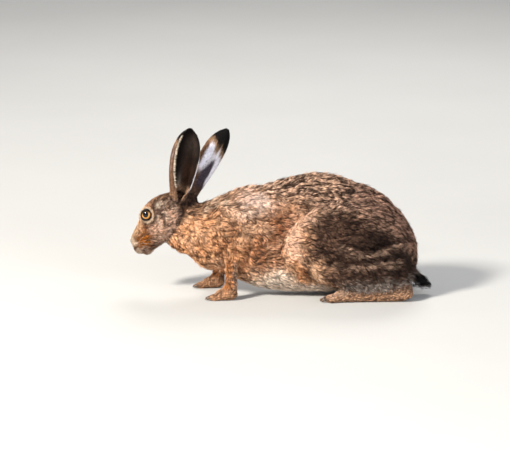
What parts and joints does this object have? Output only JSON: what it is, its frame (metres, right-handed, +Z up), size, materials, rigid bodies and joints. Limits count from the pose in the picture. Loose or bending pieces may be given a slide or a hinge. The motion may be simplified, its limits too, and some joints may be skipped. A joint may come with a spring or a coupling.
{
  "type": "brown hare model",
  "caption": "Life-size still model of a brown hare crouched to feed, head low and ears raised, standing on its feet.",
  "frame": {"origin": "middle of the model's box at the ground that the feet stand on", "axes": "the hare faces -X, its left side faces -Y, +Z is up"},
  "size_m": [0.454, 0.1338, 0.2595],
  "materials": {
    "face_coat": "short fur",
    "body_coat": "grizzled fur",
    "leg_coat": "short fur",
    "ear_coat": "short fur",
    "tail_coat": "fur",
    "eye": "gloss",
    "claw": "satin"
  },
  "bodies": {
    "root": {"head": "face_coat", "neck": "body_coat", "torso": "body_coat", "tail": "tail_coat", "ear_left": "ear_coat", "ear_right": "ear_coat", "eye_left": "eye", "eye_right": "eye", "shoulder_left": "body_coat", "shoulder_right": "body_coat", "forearm_left": "leg_coat", "forearm_right": "leg_coat", "forepaw_left": "leg_coat", "forepaw_right": "leg_coat", "thigh_left": "body_coat", "thigh_right": "body_coat", "shank_left": "body_coat", "shank_right": "body_coat", "hind_foot_left": "leg_coat", "hind_foot_right": "leg_coat"}
  },
  "joints": []
}
